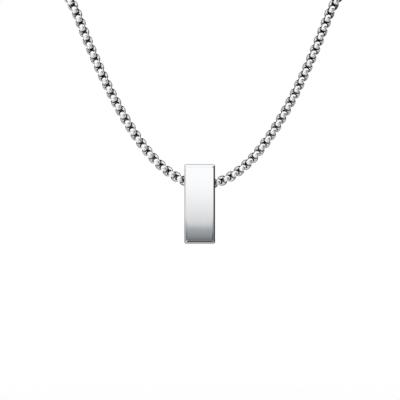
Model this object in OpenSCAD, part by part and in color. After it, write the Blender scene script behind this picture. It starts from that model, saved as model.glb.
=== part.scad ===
// Pendant necklace: a plain polished plate on a round box chain.
// The front of the loop hangs in the plane of the plate, and the rest goes round the neck.
// +Z is up and the plate faces -Y. The origin is where the clasp rests on the nape.

/* [Pendant plate] */
// Width of the plate
plate_w = 11.15; // [8:0.05:14]
// Height of the plate
plate_h = 28.8; // [20:0.1:40]
// Thickness of the plate
plate_t = 2.0; // [1.6:0.1:3]
// Radius of the corners of the outline
corner_r = 0.5; // [0.2:0.1:1.5]
// How far in from the edge the narrow bevel round the front face starts
break_in = 1.1; // [0.9:0.05:1.5]
// Depth of that bevel
break_back = 0.18; // [0.1:0.01:0.3]
// How far in from the edge the steeper bevel starts
bevel_in = 0.6; // [0.4:0.05:0.8]
// Depth of both bevels together
bevel_back = 0.68; // [0.5:0.01:0.9]
// Radius of the rounded edge round the back face
back_r = 0.3; // [0.1:0.05:0.5]

/* [Hidden bail] */
// Depth of the bail's bore below the top of the plate
bail_drop = 7.2; // [5:0.05:12]
// Distance from the back face of the plate to the middle of the bore
bail_off = 3.2; // [3:0.05:5]
// Diameter of the bore
bore_d = 4.7; // [4.6:0.05:5.2]
// Metal round the bore
bail_wall = 0.7; // [0.5:0.05:1.2]
// Length of the bail along the chain
bail_w = 4.4; // [3:0.1:6]

/* [Chain link] */
// Width of a link across the chain, at the ridge of its rim
link_d = 3.68; // [3.62:0.02:3.7]
// Width of the flat faces
face_d = 3.26; // [3.22:0.02:3.34]
// How much less a link measures along the chain
link_less = 0.28; // [0.28:0.01:0.32]
// Thickness of a link, from one face to the other
link_t = 1.96; // [1.9:0.02:1.96]
// Length of the hole
hole_l = 2.0; // [1.95:0.01:2]
// Width of the hole
hole_w = 2.44; // [2.42:0.01:2.44]
// How far the corners of the hole are cut along the chain
hole_cut_l = 0.2; // [0.15:0.01:0.25]
// How far the corners of the hole are cut across the chain
hole_cut_w = 0.16; // [0.12:0.01:0.2]
// Distance from one link's middle to the next
pitch = 1.757; // [1.75:0.001:1.8]

/* [Run of the chain] */
// Half the length of the whole loop
half_loop = 223; // [220:0.5:230]
// How far the plate hangs to the left of the chain's lowest point
plate_shift = 1.27; // [0:0.01:3]
// How far the middle of the link in the bail lies to the left of that point
link_shift = 1.69; // [0:0.01:3]
// Catenary length: the smaller, the sooner the chain turns upright
sag = 46.4; // [40:0.1:55]
// Length of chain that weighs as much as half the plate
load = 44.4; // [30:0.1:60]
// Length over which the chain bends under the plate
bend = 26.9; // [20:0.1:40]
// Length from the lowest point at which the chain starts to turn round the neck
neck_start = 78; // [70:1:86]
// Part of the turn that the chain makes at the side of the neck, in degrees
side_turn = 51.2; // [45:0.1:56]
// Share of the stretch round the neck over which that part is made
side_share = 0.38; // [0.34:0.01:0.46]
// Power that lays the chain level towards the nape
level_power = 2.5; // [2:0.1:3]
// Turn of the links' faces to the outside, in degrees
roll_out = 5.5; // [0:0.5:8]
// Length over which the faces take that turn
roll_len = 12; // [8:1:30]

/* [Clasp] */
// Least length of chain from the nape to the clasp's eye
clasp_reach = 8.5; // [7:0.5:12]
// Diameter of the clasp's barrel
barrel_d = 4.6; // [4:0.1:6]
// Radius of the rounded ends of the barrel
barrel_r = 1.0; // [0.4:0.1:1.6]
// Space between the barrel and the middle of the eye at each end
barrel_gap = 0.5; // [0.4:0.05:0.8]

/* [Hidden] */
$fn = 32;

// Step in which the run of the chain is summed
step_s = 0.5;
steps = ceil(half_loop / step_s);
// How far a cut runs past the metal
over = 1;
// Links on each side of the one in the bail, an odd number, so that the clasp's eyes stand edge-on
side_links = 2 * floor((half_loop - clasp_reach) / pitch / 2) - 1;

// Hyperbolic tangent
function tanh(x) = 1 - 2 / (exp(2 * x) + 1);
// A ramp from 0 to 1 that starts and ends level
function ramp(t) = let (v = min(max(t, 0), 1)) v * v * (3 - 2 * v);
// Share of the stretch round the neck that lies before s, from 0 to 1
function round_share(s) = min(max((s - neck_start) / (half_loop - neck_start), 0), 1);
// Slope of a chain that carries its own weight and the plate, spread over the bend
function hang(s) = atan((s + load * tanh(s / bend)) / sag);
// Slope of the chain at s, in degrees, which fades to level at the nape
function slope(s) = hang(min(s, neck_start)) * pow(1 - round_share(s), level_power);
// Heading of the chain at s: 0 in the front plane, 180 at the nape
function heading(s) = side_turn * ramp(round_share(s) / side_share)
    + (180 - side_turn) * round_share(s);
// Direction of the right strand at s
function along(s) = let (e = slope(s), h = heading(s))
    [cos(e) * cos(h), cos(e) * sin(h), sin(e)];
// Direction that the faces of the right strand's links look in, away from the neck
function outward(s) = let (
        e = slope(s), h = heading(s),
        r = roll_out * tanh(s / roll_len) * (1 - round_share(s)))
    cos(r) * [sin(h), -cos(h), 0]
    + sin(r) * [sin(e) * cos(h), sin(e) * sin(h), -cos(e)];

// Places along the right strand, a step apart, summed from the lowest point
walk = [for (i = 0, p = [0, 0, 0]; i <= steps;
    p = p + step_s * along((i + 0.5) * step_s), i = i + 1) p];
function walk_axis(s, k) = let (f = s / step_s, i = min(floor(f), steps - 1))
    walk[i][k] + (f - i) * (walk[i + 1][k] - walk[i][k]);
// Place at s, which is negative on the left strand
function place(s) = [sign(s) * walk_axis(abs(s), 0), walk_axis(abs(s), 1),
    walk_axis(abs(s), 2)];
// Sets a piece drawn along X, with its face to Z, on the chain at s
module on_chain(s) {
    side = s < 0 ? -1 : 1;
    t = along(abs(s));
    n = outward(abs(s));
    x = [side * t[0], t[1], t[2]] * side;
    z = [side * n[0], n[1], n[2]];
    y = cross(z, x);
    p = place(s);
    multmatrix([[x[0], y[0], z[0], p[0]], [x[1], y[1], z[1], p[1]],
        [x[2], y[2], z[2], p[2]], [0, 0, 0, 1]]) children();
}

// Place of the bail's bore
bail = place(-plate_shift);
// Where the eyes of the clasp stand, and the middle between them
eye_right = (side_links + 1) * pitch - link_shift;
eye_left = -(side_links + 1) * pitch - link_shift;
clasp_mid = (place(eye_right) + place(eye_left)) / 2;
// The origin lies on the neck's side of the barrel
origin = [0, clasp_mid[1] - barrel_d / 2, clasp_mid[2]];

// Section of the rim, which slopes to a ridge from both faces
rim = [[face_d, link_t] / 2, [link_d, 0] / 2, [face_d, -link_t] / 2];
// Hole, with its four corners cut
hole = let (x = hole_l / 2, y = hole_w / 2, a = hole_cut_l, b = hole_cut_w)
    [[x, y - b], [x - a, y], [a - x, y], [-x, y - b],
    [-x, b - y], [a - x, -y], [x - a, -y], [x, b - y]];

// A round disc with a ridged rim, at x
module disc(x) {
    translate([x, 0, 0]) rotate_extrude() polygon([[0, link_t / 2], each rim, [0, -link_t / 2]]);
}

// One link: a thick ring along X, with its faces to +Z and -Z, a little shorter than wide
module link() {
    difference() {
        intersection() {
            disc(-link_less / 2);
            disc(link_less / 2);
        }
        linear_extrude(link_t + over, center = true) polygon(hole);
    }
}

// The i-th link from the bail, each turned a quarter from its neighbours
module link_at(i) {
    on_chain(i * pitch - link_shift) rotate([i % 2 == 0 ? 90 : 0, 0, 0]) link();
}

// A rectangle from [0, 0] to [w, t], with two bevels on the near side and rounded on the far side
module edge_profile(w, t) {
    near = [[break_in, 0], [bevel_in, break_back], [0, bevel_back]];
    union() {
        polygon([each near, [0, t - back_r], [back_r, t], [w - back_r, t], [w, t - back_r],
            for (k = [2, 1, 0]) [w - near[k][0], near[k][1]]]);
        for (x = [back_r, w - back_r]) translate([x, t - back_r]) circle(back_r);
    }
}

// Plate and bail are soldered: one solid, drawn round the middle of the bore
module pendant() {
    back_y = -bail_off;
    color([0.86, 0.87, 0.88]) translate(bail - origin) difference() {
        union() {
            translate([0, back_y - plate_t, bail_drop - plate_h / 2]) plate();
            rotate([0, 90, 0]) cylinder(d = bore_d + 2 * bail_wall, h = bail_w, center = true);
            translate([-bail_w / 2, back_y - plate_t / 2, -bore_d / 2 - bail_wall])
                cube([bail_w, bail_off + plate_t / 2, bore_d + 2 * bail_wall]);
        }
        rotate([0, 90, 0]) cylinder(d = bore_d, h = bail_w + over, center = true);
    }
}

// The plate alone, with its front face at y = 0 and centred in x and z
module plate() {
    intersection() {
        translate([-plate_w / 2, 0, -plate_h / 2])
            linear_extrude(plate_h) edge_profile(plate_w, plate_t);
        translate([plate_w / 2, 0, -plate_h / 2]) rotate([0, -90, 0])
            linear_extrude(plate_w) edge_profile(plate_h, plate_t);
        translate([0, plate_t, 0]) rotate([90, 0, 0]) linear_extrude(plate_t) outline();
    }
}

// Front outline of the plate, a rectangle with rounded corners
module outline() {
    union() {
        square([plate_w - 2 * corner_r, plate_h], center = true);
        square([plate_w, plate_h - 2 * corner_r], center = true);
        for (x = [-1, 1], z = [-1, 1])
            translate([x * (plate_w / 2 - corner_r), z * (plate_h / 2 - corner_r)])
                circle(corner_r);
    }
}

// The links from the i-th to the j-th, all loose
module links(i, j) {
    color([0.78, 0.79, 0.8]) translate(-origin) for (n = [i : j]) link_at(n);
}
module chain_left() {
    links(-side_links, -1);
}
// The right half holds the link in the bail too
module chain_right() {
    links(0, side_links);
}

// A plain barrel with an eye like a chain link at each end
module clasp() {
    barrel_l = norm(place(eye_right) - place(eye_left)) - 2 * barrel_gap;
    color([0.72, 0.73, 0.75]) translate(-origin) union() {
        translate(clasp_mid) rotate([0, 90, 0]) rotate_extrude() union() {
            translate([0, -barrel_l / 2]) square([barrel_d / 2 - barrel_r, barrel_l]);
            translate([0, barrel_r - barrel_l / 2])
                square([barrel_d / 2, barrel_l - 2 * barrel_r]);
            for (z = [-1, 1]) translate([barrel_d / 2 - barrel_r, z * (barrel_l / 2 - barrel_r)])
                circle(barrel_r);
        }
        link_at(side_links + 1);
        link_at(-side_links - 1);
    }
}

pendant();
chain_left();
chain_right();
clasp();
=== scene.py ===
# %% [markdown]
# # A plate pendant on a round box chain
#
# The object is a necklace: a plain, mirror-polished steel plate that hangs by a hidden
# tube on a chain of short, thick rings. CAD has made every solid and every measure.
# Here the same pieces get their finer surfaces, their metal and a plain studio.
#
# All lengths below are in millimetres, because that is how a jeweller thinks of them, and
# they are turned into metres only when a mesh is made.

# %% The frame from CAD
import math

import bpy
import numpy as np
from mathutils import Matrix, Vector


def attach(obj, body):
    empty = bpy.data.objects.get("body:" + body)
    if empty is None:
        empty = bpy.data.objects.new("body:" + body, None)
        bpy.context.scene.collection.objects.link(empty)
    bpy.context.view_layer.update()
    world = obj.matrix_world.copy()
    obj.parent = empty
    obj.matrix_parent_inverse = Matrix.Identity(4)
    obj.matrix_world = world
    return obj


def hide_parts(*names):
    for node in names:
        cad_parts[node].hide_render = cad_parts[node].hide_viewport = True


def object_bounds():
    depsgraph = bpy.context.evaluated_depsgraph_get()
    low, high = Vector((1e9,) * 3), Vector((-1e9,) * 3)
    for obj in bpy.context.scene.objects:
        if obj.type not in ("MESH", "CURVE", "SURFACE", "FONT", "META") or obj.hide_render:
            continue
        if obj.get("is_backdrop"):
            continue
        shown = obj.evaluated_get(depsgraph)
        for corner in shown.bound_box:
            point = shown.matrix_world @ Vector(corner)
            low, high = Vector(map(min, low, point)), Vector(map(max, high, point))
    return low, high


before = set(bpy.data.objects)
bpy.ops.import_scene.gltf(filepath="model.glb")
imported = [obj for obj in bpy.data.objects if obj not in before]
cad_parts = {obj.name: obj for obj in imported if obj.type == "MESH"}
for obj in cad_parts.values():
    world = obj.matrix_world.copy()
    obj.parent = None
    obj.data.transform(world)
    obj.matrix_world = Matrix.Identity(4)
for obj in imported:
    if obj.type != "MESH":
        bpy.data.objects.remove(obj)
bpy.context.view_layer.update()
MM = 0.001

# %% [markdown]
# ## From rings of points to a mesh
#
# Every piece here is a stack of rings: a closed outline that changes as it is carried along
# a profile. A cube or a cylinder could be added and bevelled instead, but rings give each
# rounded edge its exact radius, and numpy works out all the points at once.
#
# The stack is a grid with one row for each ring. The faces join each point to its
# neighbours in the grid, and the last point of a ring to the first. A stack either ends in
# two flat caps, or closes on itself, as the skin of a ring does.

# %% Faces of a grid
def grid_faces(rows, columns, loop):
    """Quads between row i and i + 1 and between column j and j + 1, with the columns
    always closed round, and with the rows closed round too if loop is true."""
    rings = np.arange(rows if loop else rows - 1)
    i, j = np.meshgrid(rings, np.arange(columns), indexing="ij")
    below, right = (i + 1) % rows, (j + 1) % columns
    corners = [i * columns + j, i * columns + right, below * columns + right, below * columns + j]
    return np.stack(corners, axis=-1).reshape(-1, 4)


def capped(rings):
    """Faces of a stack of rings with a flat cap at each end, one outline for each row."""
    rows, columns = rings.shape[:2]
    caps = [list(range(columns))[::-1], list(range((rows - 1) * columns, rows * columns))]
    return grid_faces(rows, columns, loop=False).tolist() + caps


print("3 rings of 4 points, closed:", len(grid_faces(3, 4, loop=True)), "faces")

# %% A mesh at the origin
def make_piece(name, points, faces, sharp=None):
    """A mesh object from points in mm and a list of faces, shaded smooth, with the edges
    that turn by more than sharp degrees kept sharp. The object stays at the origin."""
    points = np.asarray(points).reshape(-1, 3)
    mesh = bpy.data.meshes.new(name)
    mesh.from_pydata((points * MM).tolist(), [], faces)
    mesh.shade_smooth()
    if sharp is not None:
        mesh.set_sharp_from_angle(angle=math.radians(sharp))
    mesh.validate()
    piece = bpy.data.objects.new(name, mesh)
    bpy.context.scene.collection.objects.link(piece)
    size = np.round(np.ptp(points, axis=0), 2)
    print(f"{name}: {len(mesh.polygons)} faces, {size.tolist()} mm")
    return piece

# %% [markdown]
# ## The run of the chain
#
# A chain that hangs from two points takes the form of a catenary: the further along it one
# goes, the more links hang below, and the steeper it gets. A heavy plate in the middle adds
# to that load, but short, thick links can't turn a sharp corner, so the bend is spread over
# a short length. Further up, the chain leaves the front plane and goes round the neck.
#
# Drawing a curve by hand would never meet the links of CAD, so the run is worked out by the
# formulas that CAD used: the slope and the heading at each length s from the lowest point,
# summed step by step into places.

# %% Sizes of the run
PITCH = 1.757        # from the middle of one link to the next
SIDE_LINKS = 121     # on each side of the link in the bail
HALF_LOOP = 223.0    # from the lowest point to the nape
PLATE_SHIFT = 1.27   # the plate hangs a little to the left
LINK_SHIFT = 1.69    # and so does the middle of the link in its bail
SAG = 46.4           # the larger, the flatter the hanging part
LOAD = 44.4          # the plate's pull as a length of chain, fitted and not weighed
BEND = 26.9          # length over which the bend under the plate is spread
NECK_START = 78.0    # where the run leaves the front plane
SIDE_TURN = 51.2     # degrees of the half turn that fall on the side of the neck
SIDE_SHARE = 0.38    # share of the way round in which they do
LEVEL_POWER = 2.5    # how fast the run gets level on its way round
ROLL_OUT = 5.5       # degrees by which the links roll over outwards
ROLL_LENGTH = 12.0   # length over which that roll comes in
STEP = 0.5           # length of one step of the sum
print("links on each side:", SIDE_LINKS, "over", round(SIDE_LINKS * PITCH, 1), "mm")

# %% Formulas of the run
def ramp(t):
    """3 t^2 - 2 t^3 between 0 and 1: it starts and ends level."""
    t = np.clip(t, 0, 1)
    return t * t * (3 - 2 * t)


def round_share(s):
    """Share of the stretch round the neck that lies before s."""
    return np.clip((s - NECK_START) / (HALF_LOOP - NECK_START), 0, 1)


def slope(s):
    """The angle whose tangent is (s + load tanh(s / bend)) / sag, fading to level at the
    nape."""
    front = np.minimum(s, NECK_START)
    hang = np.arctan((front + LOAD * np.tanh(front / BEND)) / SAG)
    return hang * (1 - round_share(s)) ** LEVEL_POWER


def heading(s):
    """0 in the front plane and half a turn at the nape: a ramp at the side of the neck,
    and a steady turn all the way round."""
    share = round_share(s)
    return np.radians(SIDE_TURN * ramp(share / SIDE_SHARE) + (180 - SIDE_TURN) * share)


def along(s):
    """Unit vector along the right strand: slope is its elevation, heading its compass."""
    e, h = slope(s), heading(s)
    return np.stack([np.cos(e) * np.cos(h), np.cos(e) * np.sin(h), np.sin(e)], axis=-1)


def outward(s):
    """Unit vector away from the neck, square to the strand, rolled by a few degrees."""
    e, h = slope(s), heading(s)
    roll = np.radians(ROLL_OUT) * np.tanh(s / ROLL_LENGTH) * (1 - round_share(s))
    level = np.stack([np.sin(h), -np.cos(h), 0 * h], axis=-1)
    below = np.stack([np.sin(e) * np.cos(h), np.sin(e) * np.sin(h), -np.cos(e)], axis=-1)
    return np.cos(roll)[..., None] * level + np.sin(roll)[..., None] * below


slopes = np.degrees(slope(np.array([BEND, NECK_START])))
print("slope after the bend and at the neck:", slopes.round(1).tolist(), "degrees")

# %% [markdown]
# ## Places along the run
#
# The formulas give directions, and a place is the sum of all the small steps that lead to
# it. The sum is done once, into a table, and a place between two entries is read off on the
# straight line between them. The left strand is the mirror image of the right one.
#
# The origin is at the nape, on the inner side of the clasp, so the clasp's diameter is
# needed here already.

# %% Places
BARREL_D = 4.6
table_steps = math.ceil(HALF_LOOP / STEP)
walk = np.cumsum(STEP * along((np.arange(table_steps) + 0.5) * STEP), axis=0)
walk = np.vstack([np.zeros(3), walk])


def place(s):
    """Point of the run at s, which is negative on the left strand, before the origin is
    set."""
    s = np.asarray(s, dtype=float)
    lengths = STEP * np.arange(table_steps + 1)
    spot = np.stack([np.interp(np.abs(s), lengths, walk[:, k]) for k in range(3)], axis=-1)
    return spot * np.stack([np.sign(s), np.ones_like(s), np.ones_like(s)], axis=-1)


EYES = np.array([-1, 1]) * (SIDE_LINKS + 1)     # the numbers after the last links'
clasp_middle = place(EYES * PITCH - LINK_SHIFT).mean(axis=0)
origin = np.array([0, clasp_middle[1] - BARREL_D / 2, clasp_middle[2]])
bore = place(-PLATE_SHIFT) - origin
print("bore of the bail at", np.round(bore, 3).tolist(), "mm")

# %% [markdown]
# ## One link
#
# A round box chain is made of short rings of flat wire whose outside is domed. From the side a
# ring looks like a bead, and from the front it looks like a ring with a square-ish hole, which its
# two neighbours nearly fill. The dark crosses are the shade in those gaps, and further down that
# shade is painted into the links' colour.
#
# A link could be a torus, but a torus has round wire, and the beads would look thin. So the
# section is drawn point by point: a flat wall inside, a dome outside. The hole is a
# superellipse, because its neighbours' square shoulders must fit in, and the outside is a
# rounder one.
#
# A link has 128 faces, which is sixteen sides with eight points in each section, many for a shape
# that is repeated hundreds of times; the count was chosen for a closer likeness to the
# photograph's greys than fewer faces gave.

# %% Surface of a link
SIDES = 16
HOLE_HALF = np.array([1.0, 1.22])   # along the chain, across it
SQUARENESS = 5.0                    # 2 would be an ellipse
CROWN_HALF = np.array([1.75, 1.81])
CROWN_SQUARENESS = 2.6
# Section of the wire: how far each point lies within the crown, along the chain and across it, its
# height, and how far from the link's middle the bright part reaches there, beyond which the colour
# carries painted shade. The first two points are on the hole's wall, wherever that is, and the
# wall gets painted shade all over.
WALL = np.nan
SECTION = np.array([
    [WALL, WALL, -0.95, 0.0], [WALL, WALL, 0.95, 0.0],
    [0.20, 0.38, 0.98, 1.10], [0.02, 0.16, 0.72, 0.92], [0.00, 0.00, 0.40, 1.40],
    [0.00, 0.00, -0.40, 1.40], [0.02, 0.16, -0.72, 0.92], [0.20, 0.38, -0.98, 1.10]])


def superellipse(ray, half, power):
    """Length of each ray up to the curve |x / half x|^power + |y / half y|^power = 1."""
    return (np.abs(ray / half) ** power).sum(axis=1) ** (-1 / power)


def link_surface():
    """Ring j of the grid lies at the angle a = j / sides of a turn. Its inner end is on the
    hole's superellipse, its outer end on the crown's less an inset, which goes from the
    section's first column to its second as sin(a)^2."""
    a = 2 * np.pi * np.arange(SIDES) / SIDES
    ray = np.stack([np.cos(a), np.sin(a)], axis=-1)
    wall = superellipse(ray, HOLE_HALF, SQUARENESS)
    crown = superellipse(ray, CROWN_HALF, CROWN_SQUARENESS)
    across = np.sin(a)[:, None] ** 2
    inset = (1 - across) * SECTION[:, 0] + across * SECTION[:, 1]
    radius = np.where(np.isnan(inset), wall[:, None], crown[:, None] - inset)
    height = np.broadcast_to(SECTION[:, 2], radius.shape)
    return np.concatenate([radius[..., None] * ray[:, None, :], height[..., None]], axis=-1)


LINK = link_surface().reshape(-1, 3)
LINK_FACES = grid_faces(SIDES, len(SECTION), loop=True)
print("one link:", len(LINK_FACES), "faces,", np.ptp(LINK, axis=0).round(2).tolist(), "mm")

# %% [markdown]
# ## Where the painted shade starts
#
# The dome of a link is bright. Its hole and its two ends, which sit in the neighbours' holes, get
# painted shade in their colour, standing in for the shade that the neighbours cast there. Two
# materials on one link would meet along the edges of its faces. A number on each point does
# better: the material reads it between the points too, and the border runs smoothly across the
# faces.

# %% Depth in the link
# The step runs from the bright dome to the painted shade.
BORDER = 0.05        # half the width of the step from bright to dull


def depth_in_link(lean):
    """Below 0 on the open dome, and above 0 where the link's colour gets painted shade. That is on
    the hole's wall, and at the ends where |x - lean| is more than the reach of the bright part at
    that height. The lean shifts the bright part along the link."""
    past = np.abs(LINK[:, 0] - lean) - np.tile(SECTION[:, 3], SIDES)
    on_wall = np.tile(np.isnan(SECTION[:, 0]), SIDES)
    return np.where(on_wall, 2 * BORDER, past)


# The points that this count leaves out get painted shade in their colour.
print("points that polish reaches:", int((depth_in_link(0.0) < 0).sum()), "of", len(LINK))

# %% [markdown]
# ## The chain, link by link
#
# Each link sits on the run with its length along it, and each is turned a quarter from the
# last. Blender's array modifier on a curve would stretch the links in the bends, so each
# link gets its own frame of three axes instead, and one matrix product for all of them
# carries the points over.

# %% Links on the run
def link_frames(index):
    """Places and axes, one row for each link: x along the run from left to right, z away
    from the neck, y square to both, and every even link turned a quarter about x."""
    s = index * PITCH - LINK_SHIFT
    side = np.where(s < 0, -1.0, 1.0)[:, None]
    mirror = np.concatenate([side, np.ones_like(side), np.ones_like(side)], axis=1)
    x = along(np.abs(s)) * mirror * side
    z = outward(np.abs(s)) * mirror
    y = np.cross(z, x)
    even = (index % 2 == 0)[:, None]
    axes = np.stack([x, np.where(even, z, y), np.where(even, -y, z)], axis=-1)
    return place(s) - origin, axes


def links(index):
    """Points and faces of the links with these numbers, each a copy of LINK in its frame."""
    spots, axes = link_frames(index)
    points = np.einsum("nij,vj->nvi", axes, LINK) + spots[:, None, :]
    shift = len(LINK) * np.arange(len(index))
    faces = (LINK_FACES[None] + shift[:, None, None]).reshape(-1, 4)
    return points.reshape(-1, 3), faces.tolist()


print("link in the bail at", link_frames(np.array([0]))[0][0].round(2).tolist(), "mm")

# %% [markdown]
# ## Two halves that meet at the bail
#
# CAD holds the chain as two nodes, so it is two pieces here as well. Each point carries two
# numbers for the material: its depth in the link, which sets the painted shade, and a tone that is
# the same all over one link. The tone looks random but comes from a formula, so it's the same in
# every run.
#
# On both strands the bright part lies a little nearer the plate than the middle of its link does,
# so the painted shade at the far end is wider. Those two leans are fitted to the photograph, and
# are a guess elsewhere.

# %% Halves of the chain
LINK_SHARP = 42          # degrees: both rims of the flat ends stay sharp, the dome smooth
TONE_STRIDE, TONE_SCALE = 12.9898, 43758.5453


def add_value(piece, name, values):
    """Stores one number for each point, for the material to read."""
    layer = piece.data.attributes.new(name, "FLOAT", "POINT")
    layer.data.foreach_set("value", np.asarray(values, dtype=np.float32))


def tones(index):
    """What follows the point in |scale sin(stride index)|, between 0 and 1."""
    return np.modf(np.abs(np.sin(index * TONE_STRIDE) * TONE_SCALE))[0]


def chain_half(name, node, index, lean):
    """The links with these numbers, which stand for a CAD node."""
    piece = make_piece(name, *links(index), sharp=LINK_SHARP)
    # The depth sets where the links' colour gets painted shade.
    add_value(piece, "depth", np.tile(depth_in_link(lean), len(index)))
    add_value(piece, "tone", np.repeat(tones(index), len(LINK)))
    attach(piece, "necklace")
    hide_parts(node)
    return piece


left_index, right_index = np.arange(-SIDE_LINKS, 0), np.arange(0, SIDE_LINKS + 1)
left_links = chain_half("chain_left_links", "chain_left", left_index, lean=0.3)
right_links = chain_half("chain_right_links", "chain_right", right_index, lean=-0.2)

# %% [markdown]
# ## The clasp
#
# Behind the neck a plain barrel joins the two ends. The photograph doesn't show it, so it is
# taken for a simple turned part: a profile turned about its axis, with a flat end, a rounded
# shoulder and a straight wall. An eye shaped like a link is soldered to each end, and the
# last links of the chain hang in them.

# %% Barrel and eyes
BARREL_R = 1.0           # of its rounded shoulders
BARREL_GAP = 0.5         # between the middle of an eye and the barrel's end
FLAT_RING = 0.1          # width of the ring that keeps the ends flat to the eye
BARREL_SHARP = 50        # degrees


def barrel_surface(length, sides=32, shoulder_steps=6):
    """Rings about x. The profile is a quarter circle of radius R at each end:
    x = R (1 - cos t), and the ring's radius grows by R sin t."""
    t = np.radians(np.linspace(0, 90, shoulder_steps + 1))
    flat = BARREL_D / 2 - BARREL_R
    x = np.concatenate([[0], BARREL_R * (1 - np.cos(t))])
    r = np.concatenate([[flat - FLAT_RING], flat + BARREL_R * np.sin(t)])
    x, r = np.concatenate([x, length - x[::-1]]), np.concatenate([r, r[::-1]])
    a = 2 * np.pi * np.arange(sides) / sides
    x, r = np.broadcast_to(x[:, None], (len(x), sides)), r[:, None]
    return np.stack([x, r * np.cos(a), r * np.sin(a)], axis=-1)


eye_spots = place(EYES * PITCH - LINK_SHIFT) - origin
barrel_length = float(np.linalg.norm(eye_spots[1] - eye_spots[0])) - 2 * BARREL_GAP
barrel = barrel_surface(barrel_length)
barrel_points = barrel.reshape(-1, 3) + clasp_middle - origin - [barrel_length / 2, 0, 0]
eye_points, eye_faces = links(EYES)
clasp_points = np.vstack([barrel_points, eye_points])
clasp_faces = capped(barrel) + (np.array(eye_faces) + len(barrel_points)).tolist()
clasp = make_piece("clasp_barrel", clasp_points, clasp_faces, sharp=BARREL_SHARP)
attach(clasp, "necklace")
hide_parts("clasp")

# %% [markdown]
# ## The plate
#
# The plate is all flat faces, and on polished metal it's the edges that catch the light.
# Its front edge is broken twice, at about 20 degrees to the face and then at about 40. Each
# of the two narrow bevels mirrors one direction of the studio, so they show as light strips
# on one side and as dark ones on the other. A cube with a bevel modifier has one width all
# round, so the plate is made of outlines instead: rounded rectangles carried over the two
# bevels, along the side and over the softer back edge.
#
# Smooth shading bends the reflections on a long face if its corners take part of their
# direction from the round corners of the plate. A guard point on each straight side, just
# beyond each corner's arc, keeps that bend in a short face, and the long one stays true.

# %% Profile of the plate's edge
PLATE_W, PLATE_H, PLATE_T = 11.15, 28.8, 2.0
FACE_IN = 1.3                        # where the flat of the face starts
BREAK_IN, BREAK_BACK = 1.1, 0.18     # where the first bevel starts and how deep it ends
BEVEL_IN, BEVEL_BACK = 0.6, 0.68     # the same for the second one
BACK_R, BACK_IN = 0.3, 0.5           # rounding of the back edge, start of the flat back


def rounded_path(path, reach, steps=7):
    """Points along a path whose inner corners are rounded: within reach r of the corner C,
    between A and B, the point is (1 - t)^2 A + 2 t (1 - t) C + t^2 B."""
    path, t = np.asarray(path, dtype=float), np.linspace(0, 1, steps)[None, :, None]
    before, corner, after = path[:-2], path[1:-1], path[2:]

    def towards(end):
        step = end - corner
        return corner + step * (np.array(reach) / np.linalg.norm(step, axis=1))[:, None]

    a, b, c = towards(before)[:, None], towards(after)[:, None], corner[:, None]
    curves = (1 - t) ** 2 * a + 2 * t * (1 - t) * c + t ** 2 * b
    return np.vstack([path[:1], curves.reshape(-1, 2), path[-1:]])


# How far in from the outline, and how far back from the face.
plate_section = rounded_path(
    [[FACE_IN, 0], [BREAK_IN, 0], [BEVEL_IN, BREAK_BACK], [0, BEVEL_BACK],
     [0, PLATE_T], [BACK_IN, PLATE_T]],
    reach=[0.06, 0.06, 0.2, BACK_R])
print("points from the face over the edge to the back:", len(plate_section))

# %% Outlines carried over the edges
CORNER_R, LEAST_R = 0.5, 0.08        # radius of the corners, and the least they come to
GUARD = 0.25                         # how far beyond each corner its guard point stands
BAIL_DROP, BAIL_OFF = 7.2, 3.2       # the bore below the top of the plate, and behind it


def plate_surface(corner_steps=6):
    """Ring k is a rounded rectangle drawn in by d and set back by y, where (d, y) runs
    along the section. Each corner of the ring is an arc of radius max(corner - d, least)
    with a guard point before it and after it."""
    d, y = plate_section.T
    quarter = np.radians(np.linspace(0, 90, corner_steps + 1))
    arc = np.concatenate([quarter[:1], quarter, quarter[-1:]])
    a = np.concatenate([arc + k * np.pi / 2 for k in range(4)])
    beyond = np.tile(np.concatenate([[-GUARD], 0 * quarter, [GUARD]]), 4)
    corner = np.repeat([[1, 1], [-1, 1], [-1, -1], [1, -1]], len(arc), axis=0)
    d = d[:, None]
    radius = np.maximum(CORNER_R - d, LEAST_R)
    x = corner[:, 0] * (PLATE_W / 2 - d - radius) + radius * np.cos(a) - beyond * np.sin(a)
    z = corner[:, 1] * (PLATE_H / 2 - d - radius) + radius * np.sin(a) + beyond * np.cos(a)
    return np.stack([x, np.broadcast_to(y[:, None], x.shape), z], axis=-1)


plate_rings = plate_surface()
plate_middle = bore + [0, -BAIL_OFF - PLATE_T, BAIL_DROP - PLATE_H / 2]
plate_faces = [face[::-1] for face in capped(plate_rings)]
plate = make_piece("plate", plate_rings + plate_middle, plate_faces)
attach(plate, "pendant")
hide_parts("pendant")

# %% [markdown]
# ## The hidden bail
#
# The chain runs behind the plate, so what holds it is a short tube soldered to the back.
# Its outside is round at the back and straight towards the plate, like an arch, and its
# bore is wide enough for the chain to slide. Both outlines are carried from one mouth of
# the tube to the other, with a small break at each edge, and the skin closes on itself.

# %% The tube with its arch
BORE_R, BAIL_WALL, BAIL_W = 2.35, 0.7, 4.4
MOUTH_BREAK = 0.15       # width of the broken edges at both mouths
SINK = 0.3               # how far the arch runs into the plate
BAIL_SHARP = 30          # degrees
TINY = 1e-6              # keeps a division from meeting 0


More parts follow.
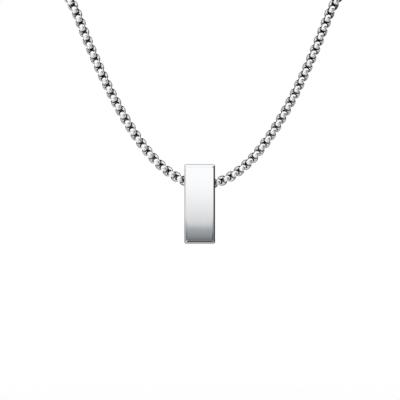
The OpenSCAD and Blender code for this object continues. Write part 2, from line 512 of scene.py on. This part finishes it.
def bail_surface(sides=48):
    """The outer outline is a half circle at the back, and the box of the arch in front: at
    the angle a the ray reaches min(depth / |cos a|, radius / |sin a|). The inner one is
    the bore's circle. Each is drawn in or out by the break where the tube ends."""
    a = 2 * np.pi * np.arange(sides) / sides
    ray = np.stack([np.cos(a), np.sin(a)], axis=-1)
    outer_r = BORE_R + BAIL_WALL
    reach = np.minimum((BAIL_OFF + SINK) / np.maximum(-ray[:, 0], TINY),
                       outer_r / np.maximum(np.abs(ray[:, 1]), TINY))
    outer = np.where(ray[:, 0] >= 0, outer_r, reach)
    inner = np.full(sides, BORE_R)
    less, more = outer - MOUTH_BREAK, inner + MOUTH_BREAK
    radius = np.stack([inner, inner, more, less, outer, outer, less, more], axis=1)
    half, short = BAIL_W / 2, BAIL_W / 2 - MOUTH_BREAK
    x = np.array([short, -short, -half, -half, -short, short, half, half])
    x = np.broadcast_to(x[None, :, None], (*radius.shape, 1))
    return np.concatenate([x, radius[..., None] * ray[:, None, :]], axis=-1)


bail_rings = bail_surface()
bail_faces = grid_faces(*bail_rings.shape[:2], loop=True)[:, ::-1].tolist()
bail = make_piece("bail", bail_rings + bore, bail_faces, sharp=BAIL_SHARP)
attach(bail, "pendant")
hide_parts("pendant")

# %% [markdown]
# ## Materials as expressions
#
# A material in Blender is a graph of nodes. Written node by node it is hard to read, so a
# small class wraps a node's socket, and adding or multiplying two of them adds the Math
# node that does it. Any other node comes from one method.

# %% Sockets that can be calculated with
class Graph:
    """A node tree, written as expressions."""

    def __init__(self, tree):
        self.tree = tree
        tree.nodes.clear()

    def node(self, kind, settings=None, sockets=None, output=0):
        """Adds a node, gives it its settings, then its sockets' values or links."""
        made = self.tree.nodes.new(kind)
        for name, value in (settings or {}).items():
            setattr(made, name, value)
        for name, value in (sockets or {}).items():
            socket = made.inputs[name]
            if isinstance(value, Value):
                self.tree.links.new(value.socket, socket)
            else:
                socket.default_value = value
        return Value(self, made.outputs[output] if len(made.outputs) else None)


class Value:
    """What comes out of a node: a number that can be added, multiplied and so on."""

    def __init__(self, graph, socket):
        self.graph, self.socket = graph, socket

    def math(self, operation, a, b):
        """A Math node with this operation on a and b."""
        return self.graph.node("ShaderNodeMath", {"operation": operation}, {0: a, 1: b})

    def __add__(self, other): return self.math("ADD", self, other)
    def __radd__(self, other): return self.math("ADD", other, self)
    def __sub__(self, other): return self.math("SUBTRACT", self, other)
    def __rsub__(self, other): return self.math("SUBTRACT", other, self)
    def __mul__(self, other): return self.math("MULTIPLY", self, other)
    def __rmul__(self, other): return self.math("MULTIPLY", other, self)
    def __pow__(self, other): return self.math("POWER", self, other)

    def span(self, start, end):
        """A smooth step from 0 at start to 1 at end, either way round."""
        return self.graph.node("ShaderNodeMapRange", {"interpolation_type": "SMOOTHSTEP"},
                               {"Value": self, "From Min": start, "From Max": end})

# %% [markdown]
# ## Words for materials
#
# A few helpers turn the nodes that come up again and again into words: a place in mm, a
# blend of two colours, noise, and a number stored on the points. Noise reads the piece's
# own coordinates, which move with it, so a grain never slides when the pendant swings. The
# number of waves per mm along each axis stretches the noise into lines.

# %% Helpers
def place_in_mm(graph, axis):
    """The piece's own coordinate along x, y or z, which are 0, 1 and 2, in mm."""
    spot = graph.node("ShaderNodeTexCoord", output=3)
    return graph.node("ShaderNodeSeparateXYZ", {}, {0: spot}, output=axis) * (1 / MM)


def blend_colours(graph, factor, first, second):
    """Mix of two colours, the first where the factor is 0."""
    return graph.node("ShaderNodeMix", {"data_type": "RGBA"},
                      {"Factor": factor, 6: (*first, 1), 7: (*second, 1)}, output=2)


def noise(graph, per_mm, detail=2.0):
    """Noise on the piece's own coordinates, with so many waves per mm along x, y and z."""
    spot = graph.node("ShaderNodeTexCoord", output=3)
    scale = [waves / MM for waves in per_mm]
    scaled = graph.node("ShaderNodeMapping", {}, {"Vector": spot, "Scale": scale})
    return graph.node("ShaderNodeTexNoise", {},
                      {"Vector": scaled, "Scale": 1.0, "Detail": detail})


def stored(graph, name):
    """The number that each point carries under this name."""
    return graph.node("ShaderNodeAttribute", {"attribute_name": name}, output=2)


def new_material(name):
    """An empty material and its graph."""
    material = bpy.data.materials.new(name)
    material.use_nodes = True
    return material, Graph(material.node_tree)


def dress(piece, material):
    """Gives the piece this material and no other."""
    piece.data.materials.clear()
    piece.data.materials.append(material)

# %% [markdown]
# ## Any metal
#
# All four finishes are bare metal, so they share one recipe: fully metallic, with a colour,
# a roughness and a relief of their own. The relief is less than a tenth of a millimetre,
# far too fine for the mesh, and a Bump node bends the light as such a relief would.

# %% Metal
RELIEF = 0.01            # mm by which a height of 1 stands out


def metal(name, colour, roughness, height, bump):
    """A metal whose colour, roughness and relief come from functions of the graph."""
    material, graph = new_material(name)
    relief = {"Height": height(graph), "Strength": bump, "Distance": RELIEF * MM}
    normal = graph.node("ShaderNodeBump", {}, relief)
    shader = graph.node("ShaderNodeBsdfPrincipled", {}, {
        "Metallic": 1.0, "Base Color": colour(graph),
        "Roughness": roughness(graph), "Normal": normal})
    graph.node("ShaderNodeOutputMaterial", {}, {"Surface": shader})
    print(f"{name}: {len(material.node_tree.nodes)} nodes")
    return material

# %% [markdown]
# ## Mirror-polished plate
#
# Polished steel is nearly a mirror. What keeps it from looking like a computer's mirror is
# what the buffing wheel leaves: faint lines along the plate, and broad, soft patches that
# are a little less bright. Both are noise on the piece's own coordinates, stretched for the
# lines, and both change the roughness far more than the colour.
#
# The back can't be seen in the photograph, and a satin brushing is guessed for it. It could
# be a second material, but its border would be as hard as a face's edge. A smooth step in
# depth, just before the flat back, fades one finish into the other over the rounded edge.

# %% Plate
PLATE_GREYS = (0.56, 0.567, 0.58), (0.60, 0.605, 0.61)
PATCHES, CLOUDS = (0.16, 0.16, 0.16), (0.3, 0.3, 0.2)     # waves per mm along x, y and z
BUFFED, BUFFED_RELIEF = (9.0, 9.0, 0.3), (14.0, 14.0, 0.5)
BRUSHED_BACK = (10.0, 10.0, 0.12)
BROAD_DETAIL = 3.0                                        # of the broad noises
PLATE_BACK = float(plate_middle[1] + PLATE_T)
SATIN_START, SATIN_FULL = PLATE_BACK - 0.12, PLATE_BACK - 0.03


def satin(graph):
    """1 on the flat back of the plate and 0 on all the rest of it."""
    return place_in_mm(graph, 1).span(SATIN_START, SATIN_FULL)


polished = metal(
    "mirror_polished_steel",
    colour=lambda g: blend_colours(g, noise(g, PATCHES, BROAD_DETAIL), *PLATE_GREYS),
    roughness=lambda g: (0.03 + 0.05 * noise(g, CLOUDS, BROAD_DETAIL) * noise(g, BUFFED)
                         + satin(g) * (0.26 + 0.14 * noise(g, BRUSHED_BACK))),
    height=lambda g: noise(g, BUFFED_RELIEF) * (1 + 6.0 * satin(g)),
    bump=0.04)
dress(plate, polished)
print("satin back from y =", round(SATIN_START, 2), "mm")

# %% [markdown]
# ## Bail and clasp
#
# The bail is taken for a piece of drawn tube, so its fine lines run along its axis: the
# noise has few waves along x and many across it. The barrel is taken for a turned part that
# was brushed on the lathe, so its lines are rings, with many waves along x and few across.
# Both finishes are guesses, because neither piece can be seen in the photograph.

# %% Drawn tube and turned barrel
STEEL_GREYS = (0.48, 0.49, 0.50), (0.58, 0.585, 0.59)

drawn = metal(
    "bail_steel",
    colour=lambda g: blend_colours(g, noise(g, (0.6, 0.6, 0.6), BROAD_DETAIL), *STEEL_GREYS),
    roughness=lambda g: 0.12 + 0.16 * noise(g, (0.5, 9.0, 9.0)),
    height=lambda g: noise(g, (0.6, 12.0, 12.0)),
    bump=0.2)
dress(bail, drawn)

brushed = metal(
    "lathe_brushed_steel",
    colour=lambda g: blend_colours(g, noise(g, (0.5, 0.5, 0.5), BROAD_DETAIL), *STEEL_GREYS),
    roughness=lambda g: 0.16 + 0.2 * noise(g, (12.0, 0.4, 0.4)),
    height=lambda g: noise(g, (16.0, 0.5, 0.5)),
    bump=0.3)
dress(clasp, brushed)

# %% [markdown]
# ## The links
#
# The links are tumbled bright, so their domes shine. The hole and the two ends, where the
# neighbours shade each link, are rougher and get a near-black colour that is painted shade. The
# depth that was stored for each point tells the two apart. Each link also has a tone of its own,
# because no two come out of the tumbler alike.

# %% Tumbled steel
# The second colour is not the steel's own: it is painted shade for the hole and the ends of each
# link.
LINK_BRIGHT, LINK_PAINTED_SHADE = (0.625, 0.625, 0.627), (0.02, 0.02, 0.021)
SPECKLE, DENTS = (2.0, 2.0, 2.0), (5.0, 5.0, 5.0)         # waves per mm


def shade_and_dullness(graph):
    """0 on the open dome and 1 in the hole and at the ends, with a narrow step between. In the
    roughness it is a duller finish, in the colour painted shade.
    """
    return stored(graph, "depth").span(-BORDER, BORDER)


def link_colour(graph):
    """From bright to the near-black painted shade in the hole and at the ends, with a few
    hundredths left for the tone.
    """
    factor = shade_and_dullness(graph) * 0.94 + 0.06 * stored(graph, "tone")
    return blend_colours(graph, factor, LINK_BRIGHT, LINK_PAINTED_SHADE)


tumbled = metal(
    "tumbled_steel_painted_shade",
    colour=link_colour,
    roughness=lambda g: (0.08 + 0.3 * shade_and_dullness(g) + 0.05 * stored(g, "tone")
                         + 0.06 * noise(g, SPECKLE)),
    height=lambda g: noise(g, DENTS, BROAD_DETAIL),
    bump=0.1)
dress(left_links, tumbled)
dress(right_links, tumbled)

# %% [markdown]
# ## The floor of the studio
#
# Bright metal shows only what stands round it, so the studio makes the picture. Its floor
# is pale matt paint. A sheet of paper would end in a hard edge, and a curved backdrop would
# need to stand behind every camera, so the floor is a large square whose paint turns into
# light of the backdrop's white with distance, and no edge is seen from any side.

# %% Floor
FLOOR_Z = -330.0
FLOOR_HALF = 4000.0
PAINT_GREYS = (0.93, 0.93, 0.93), (0.96, 0.96, 0.96)
PAINT_WAVES = (0.004, 0.004, 0.004)
FADE_START, FADE_END = 250, 1400     # mm from the middle
WHITE = (1.0, 1.0, 1.0, 1)


def stage_plane(name, corners, material, to_camera=True, to_metal=True):
    """A flat piece of the studio from four corners in mm, which isn't part of the object."""
    board = make_piece(name, corners, [[0, 1, 2, 3]])
    board.visible_camera, board.visible_glossy = to_camera, to_metal
    dress(board, material)
    board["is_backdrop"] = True


def floor_material():
    """Pale matt paint, a little uneven, which turns into the white of the backdrop as the
    distance from the middle, sqrt(x^2 + y^2), grows."""
    material, graph = new_material("pale_floor")
    x, y = place_in_mm(graph, 0), place_in_mm(graph, 1)
    away = (x * x + y * y) ** 0.5
    colour = blend_colours(graph, noise(graph, PAINT_WAVES), *PAINT_GREYS)
    paint = graph.node("ShaderNodeBsdfPrincipled", {}, {"Base Color": colour, "Roughness": 0.9})
    white = graph.node("ShaderNodeEmission", {}, {"Color": WHITE, "Strength": 1.0})
    shader = graph.node("ShaderNodeMixShader", {},
                        {0: away.span(FADE_START, FADE_END), 1: paint, 2: white})
    graph.node("ShaderNodeOutputMaterial", {}, {"Surface": shader})
    return material


floor_corners = [[x * FLOOR_HALF, y * FLOOR_HALF, FLOOR_Z]
                 for x, y in ((-1, -1), (1, -1), (1, 1), (-1, 1))]
stage_plane("floor", floor_corners, floor_material(), to_metal=False)

# %% [markdown]
# ## The card in front of the plate
#
# The flat face of the plate mirrors one small part of the studio, the part behind the
# camera. A photographer stands a card there that runs from white to dark, and the plate
# takes its gradient from it, with the sharper step where the photograph's dark band starts.
# Two low strips carry the card on to both sides, for the links, which mirror more of the
# studio than the plate does. All three are kept from the camera, as a photographer keeps
# them out of the frame.

# %% Card and strips
CARD_Y = -900.0
CARD_BRIGHTNESS = 1.655
CARD_LIGHT, CARD_DARK = (1.0, 1.0, 1.0), (0.0, 0.015, 0.03)
SLOW_FALL, SHARP_FALL, LAST_FALL = (-92, -142), (-130.8, -135.4), (-139, -148.5)
BOARDS = (("front_card", -220, 220, -260, 40),      # left, right, low and high
          ("left_strip", -850, -220, -160, -65),
          ("right_strip", 220, 850, -160, -65))


def card_material():
    """Light that falls off from top to bottom in three smooth steps: a long, slow one, a
    sharp one where the dark band starts, and one for the band's lower end."""
    material, graph = new_material("gradient_card")
    height = place_in_mm(graph, 2)
    dark = (0.35 * height.span(*SLOW_FALL) + 0.335 * height.span(*SHARP_FALL)
            + 0.27 * height.span(*LAST_FALL))
    colour = blend_colours(graph, dark, CARD_LIGHT, CARD_DARK)
    shader = graph.node("ShaderNodeEmission", {}, {"Color": colour, "Strength": CARD_BRIGHTNESS})
    graph.node("ShaderNodeOutputMaterial", {}, {"Surface": shader})
    return material


card_light = card_material()
for name, left, right, low, high in BOARDS:
    corners = [[left, CARD_Y, low], [left, CARD_Y, high],
               [right, CARD_Y, high], [right, CARD_Y, low]]
    stage_plane(name, corners, card_light, to_camera=False)

# %% [markdown]
# ## The light all round
#
# The rest of the studio is painted on the world. Lamps and reflectors as objects would do as
# well, but the metal sees each of them only as a soft patch of light or shade. So the
# brightness is a formula of the direction, whose three parts go from -1 to 1: to the right,
# to the back and up. One big soft light fills the front half. A dark panel on the right, the
# ends of the room and the floor take some of it away, and behind lies a dim room with two
# lights of its own.
#
# The camera sees plain white instead. The world asks what kind of ray it meets, and only
# that, so nothing on the object depends on where the camera stands.

# %% Light and shade by direction
FRONT_LIGHT = 1.6
ROOM_LIGHT = 0.03        # what even the darkest corner has


def front_light(side, depth, up):
    """1 in the front half and a little way behind, less what the floor, the ground straight
    below and the dark panel on the right take away."""
    panel = (side + 0.6 * up).span(0.06, 0.2) * up.span(0.45, 0.3) * side.span(0.9, 0.75)
    floor = (0.1 + 0.2 * side.span(-0.2, 0.3)) * up.span(-0.05, -0.4)
    ground = 0.5 * up.span(-0.8, -0.95)
    return (depth.span(0.34, 0.14) * (1 - floor) * (1 - ground)
            * (1 - (0.72 + 0.26 * up.span(-0.02, 0.1)) * panel))


def table(side, up):
    """1 on a small patch low in front, which the plate's lower bevel mirrors, and 0 on all
    the rest."""
    low = up.span(-0.5, -0.58) * (1 - up.span(-0.74, -0.82))
    return low * side.span(-0.1, -0.05) * side.span(0.1, 0.05)


def ends_of_room(side, depth, up):
    """The share of the light that is left: less at the far left, and less still there below
    eye level, none at the far right, and less on the ceiling from straight above to the
    back."""
    left = (0.33 + 0.35 * up.span(-0.008, -0.02)) * side.span(-0.85, -0.97)
    right = side.span(0.9, 0.96)
    ceiling = 0.85 * up.span(0.9, 0.97) * depth.span(-0.14, -0.02)
    return (1 - left) * (1 - right) * (1 - ceiling)


def dim_room(depth, up):
    """The room behind, a little lighter towards its floor."""
    return depth.span(0.1, 0.3) * (0.04 + 0.12 * up.span(-0.1, -0.6))


def lamp_behind(depth):
    """A light straight behind."""
    return 0.8 * depth.span(0.92, 0.98)


def band_behind(depth, up):
    """A level band of light, which keeps the metal bright when it's seen from the back."""
    return 0.42 * depth.span(0.5, 0.65) * up.span(-0.4, -0.3) * up.span(0.35, 0.2)

# %% World
world = bpy.data.worlds.new("studio")
bpy.context.scene.world = world
world.use_nodes = True
graph = Graph(world.node_tree)
look = graph.node("ShaderNodeTexCoord", output=0)
side, depth, up = [graph.node("ShaderNodeSeparateXYZ", {}, {0: look}, output=k) for k in range(3)]
light = (ROOM_LIGHT + FRONT_LIGHT * front_light(side, depth, up) * (1 - table(side, up))
         * ends_of_room(side, depth, up)
         + dim_room(depth, up) + lamp_behind(depth) + band_behind(depth, up))
seen_by_metal = graph.node("ShaderNodeBackground", {}, {"Color": WHITE, "Strength": light})
seen_by_camera = graph.node("ShaderNodeBackground", {}, {"Color": WHITE, "Strength": 1.0})
camera_ray = graph.node("ShaderNodeLightPath", output=0)
mixed = graph.node("ShaderNodeMixShader", {}, {0: camera_ray, 1: seen_by_metal, 2: seen_by_camera})
graph.node("ShaderNodeOutputWorld", {}, {"Surface": mixed})
bpy.context.scene.view_settings.view_transform = "Standard"
print("nodes in the world:", len(world.node_tree.nodes))

# %% [markdown]
# ## The camera
#
# The photograph looks straight at the plate from the front. A long lens from 600 mm away
# keeps the perspective weak, as a jeweller's catalogue does. The field is set in the plane
# of the chain: 145.84 mm across the square frame.

# %% Camera
DISTANCE, FIELD = 600.0, 145.84
FRAME_MIDDLE = (-1.16, -110.43)      # x and z of the middle of the frame
camera_data = bpy.data.cameras.new("camera")
camera_data.type = "PERSP"
camera_data.sensor_width = 36.0
camera_data.lens = camera_data.sensor_width * DISTANCE / FIELD
camera_data.clip_start, camera_data.clip_end = 0.01, 10.0
camera = bpy.data.objects.new("camera", camera_data)
bpy.context.scene.collection.objects.link(camera)
camera.location = (FRAME_MIDDLE[0] * MM, (bore[1] - DISTANCE) * MM, FRAME_MIDDLE[1] * MM)
camera.rotation_euler = (math.radians(90), 0, 0)
bpy.context.scene.camera = camera
print("lens", round(camera_data.lens, 1), "mm")

# %% [markdown]
# ## The size
#
# The box of the dressed object is printed here, in mm.

# %% Sizes and the end
low, high = [list(corner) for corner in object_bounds()]
print("visual box in mm:", np.round(np.array([low, high]) / MM, 2).tolist())
